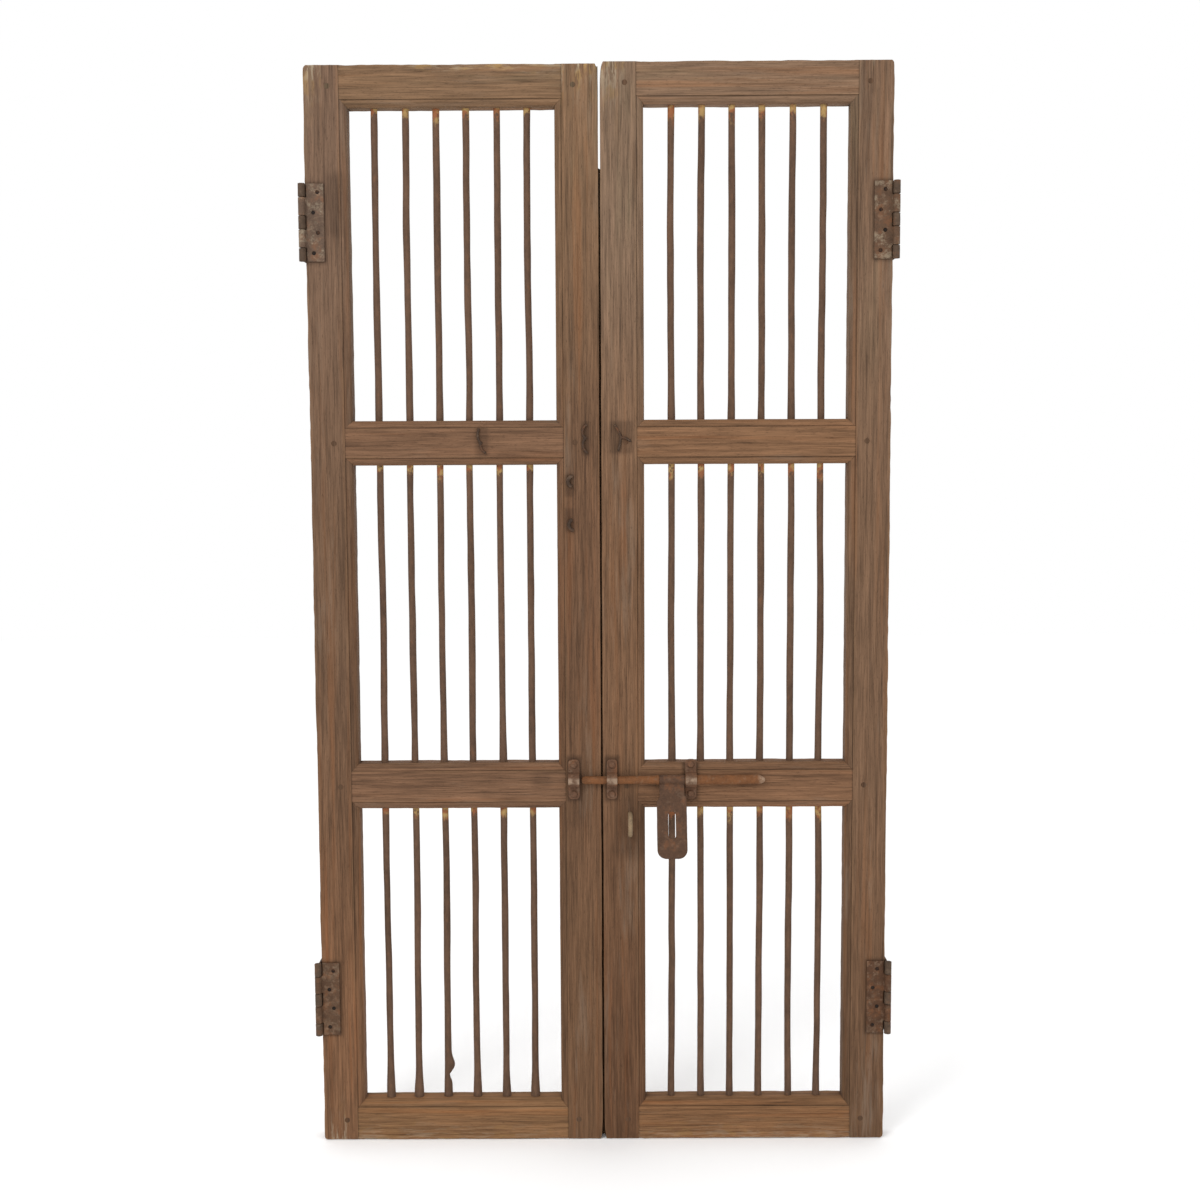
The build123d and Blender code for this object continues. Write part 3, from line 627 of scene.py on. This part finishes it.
def forge(node, material, voxel, relief, size=0.008):
    """Softens a piece's edges and gives it the uneven face of hammered, rusted iron."""
    piece = nodes[node]
    for slot in piece.material_slots:
        slot.material = material
    remade = piece.modifiers.new("even skin", "REMESH")
    remade.mode = "VOXEL"
    remade.voxel_size = voxel * MM
    remade.use_smooth_shade = True
    worn = piece.modifiers.new("rounded edges", "SMOOTH")
    worn.factor, worn.iterations = 0.5, 2
    grain = bpy.data.textures.new(f"{node} pitting", "CLOUDS")
    grain.noise_scale, grain.noise_depth = size, 3
    pitted = piece.modifiers.new("pitting", "DISPLACE")
    pitted.texture, pitted.texture_coords = grain, "LOCAL"
    pitted.strength, pitted.mid_level = relief * MM, 0.6


def finish_plainly(node, material):
    for slot in nodes[node].material_slots:
        slot.material = material


# ---------- the gate ----------

STILE_TONES = {
    ("left", "hinge"): (linear(130, 96, 72), linear(113, 88, 70), linear(121, 97, 81)),
    ("left", "meeting"): (linear(114, 86, 65), linear(116, 87, 67), linear(128, 101, 79)),
    ("right", "meeting"): (linear(108, 79, 59), linear(124, 94, 72), linear(133, 110, 92)),
    ("right", "hinge"): (linear(110, 84, 65), linear(120, 94, 75), linear(125, 100, 82)),
}
RAIL_TONES = {
    ("left", "top_rail"): linear(130, 103, 80), ("right", "top_rail"): linear(131, 106, 87),
    ("left", "upper_mid_rail"): linear(121, 92, 72), ("right", "upper_mid_rail"): linear(134, 101, 76),
    ("left", "lower_mid_rail"): linear(128, 97, 76), ("right", "lower_mid_rail"): linear(135, 101, 77),
    ("left", "bottom_rail"): linear(139, 105, 76), ("right", "bottom_rail"): linear(139, 103, 74),
}
PLATE_TONES = {
    "left_upper": linear(117, 96, 82), "right_upper": linear(110, 85, 67),
    "left_lower": linear(108, 81, 62), "right_lower": linear(101, 71, 51),
}
PLATE_PAINT = {"upper": 0.35, "lower": 0.10}  # how much old paint is left on the hinges
BAR_TONE = linear(116, 90, 73)
# the straps' fronts are rubbed bright and carry a painted highlight
CROWN_WEAR_AND_HIGHLIGHT = ("Y", -0.0152, -0.0167)  # the fronts of the straps
TIP_SHINE = ("X", 0.206, 0.213)  # the rod's right end
BAR_PAINT = {"left": 0.026, "right": 0.040}  # how far the ochre reaches below a rail, in metres

seed = 10
for side in SIDES:
    for kind in ("hinge", "meeting"):
        seed += 10
        washed = 0.25 if (side, kind) == ("right", "hinge") else 0.06
        material = teak(f"{side} {kind} stile teak", "Z", STILE_TONES[side, kind], seed, washed, 1.0)
        make_stile(side, kind, seed, material)
    for rail in RAILS:
        seed += 10
        tone = RAIL_TONES[side, rail]
        material = teak(f"{side} {rail} teak", "X", (tone, tone, tone), seed, 0.05, 1.0)
        make_rail(side, rail, seed, material)
    edges = rail_edges(side)
    tops = [(edges[rail][0] * MM, BAR_PAINT[side]) for rail in RAILS[1:]]
    material = bar_iron(f"{side} bar iron", BAR_TONE, seed, tops)
    for number in range(1, 7):
        seed += 1
        make_bar(side, number, seed, material)

peg_wood = teak("peg end grain", "Z", (linear(96, 74, 58),) * 3, 400)
dark_iron = rusted("sunk screw iron", linear(40, 32, 28), IRON_SEED, 0.05)
wire_iron = rusted("dark wire iron", linear(84, 66, 54), IRON_SEED + 10, 0.20)
strap_iron = rusted("strap iron", linear(122, 90, 70), IRON_SEED + 20, 0.30, bright=CROWN_WEAR_AND_HIGHLIGHT)
rod_iron = rusted("rod iron", linear(138, 92, 58), IRON_SEED + 30, 0.22, bright=TIP_SHINE)
hasp_iron = rusted("hasp iron", linear(104, 77, 60), IRON_SEED + 40, 0.14)
# the padlock staple is pale all over: worn metal with a painted highlight
staple_wear_and_highlight = rusted("worn staple iron with painted highlight", linear(170, 148, 120), IRON_SEED + 50, 0.60)
knuckle_iron = rusted("dark knuckle iron", linear(100, 82, 68), IRON_SEED + 70, 0.20)
plate_seed = IRON_SEED + 90

for side in SIDES:
    finish_plainly(f"{side}_tenon_pegs", peg_wood)
    finish_plainly(f"{side}_hinge_screws", dark_iron)
    for level in ("upper", "lower"):
        tone, specks = PLATE_TONES[f"{side}_{level}"], PLATE_PAINT[level]
        plate_iron = rusted(f"{side} {level} hinge iron", tone, plate_seed, 0.30, specks)
        plate_seed += 1
        forge(f"{side}_{level}_leaf_plate", plate_iron, 0.7, 0.35)
        forge(f"{side}_{level}_post_plate", knuckle_iron, 0.7, 0.35)
        forge(f"{side}_{level}_hinge_pin", knuckle_iron, 0.5, 0.15)
    forge(f"{side}_pull_cotter", wire_iron, 0.45, 0.30, 0.005)
forge("rail_cotter", wire_iron, 0.45, 0.30, 0.005)
forge("clinched_staple", wire_iron, 0.5, 0.35, 0.006)
forge("padlock_staple", staple_wear_and_highlight, 0.5, 0.35, 0.006)
for node in ("bolt_keeper", "middle_guide_strap", "end_guide_strap"):
    forge(node, strap_iron, 0.5, 0.35, 0.006)
for node in ("keeper_rivets", "guide_rivets"):
    forge(node, strap_iron, 0.5, 0.30, 0.004)
forge("bolt_rod", rod_iron, 0.6, 0.45, 0.010)
forge("hasp", hasp_iron, 0.55, 0.45, 0.010)

# ---------- studio ----------

scene = bpy.context.scene
scene.view_settings.view_transform = "Standard"
scene.view_settings.look = "None"

FLOOR = 6.0
mesh = bpy.data.meshes.new("floor")
mesh.from_pydata([(x * FLOOR, y * FLOOR, -0.0005) for x, y in ((-1, -1), (1, -1), (1, 1), (-1, 1))],
                 [], [(0, 1, 2, 3)])
floor = bpy.data.objects.new("floor", mesh)
scene.collection.objects.link(floor)
floor_paint = Finish("studio floor", Roughness=0.9, Specular_IOR_Level=0.0)
floor_paint.surface.inputs["Base Color"].default_value = (1, 1, 1, 1)
mesh.materials.append(floor_paint.material)

world = bpy.data.worlds.new("studio")
scene.world = world
world.use_nodes = True
world.node_tree.nodes["Background"].inputs["Color"].default_value = (1, 1, 1, 1)
world.node_tree.nodes["Background"].inputs["Strength"].default_value = 1.0


def lamp(name, place, aim, size, power):
    light = bpy.data.lights.new(name, "AREA")
    light.size, light.energy = size, power
    holder = bpy.data.objects.new(name, light)
    holder.location = place
    holder.rotation_euler = (Vector(aim) - Vector(place)).to_track_quat("-Z", "Y").to_euler()
    scene.collection.objects.link(holder)


lamp("key", (-1.6, -2.6, 2.6), (0, 0, 0.75), 1.2, 45)
lamp("fill", (2.2, -2.4, 1.2), (0, 0, 0.7), 1.6, 12)

EYE = Vector((0.0056, -2.1148, 0.9334))
YAW, PITCH, ROLL = (math.radians(v) for v in (0.19, -5.21, -0.29))
camera_data = bpy.data.cameras.new("camera")
camera_data.sensor_width, camera_data.lens = 36, 48
camera = bpy.data.objects.new("camera", camera_data)
aim = Matrix.Rotation(YAW, 4, "Z") @ Matrix.Rotation(PITCH + math.pi / 2, 4, "X")
camera.matrix_world = Matrix.Translation(EYE) @ aim @ Matrix.Rotation(ROLL, 4, "Z")
scene.collection.objects.link(camera)
scene.camera = camera
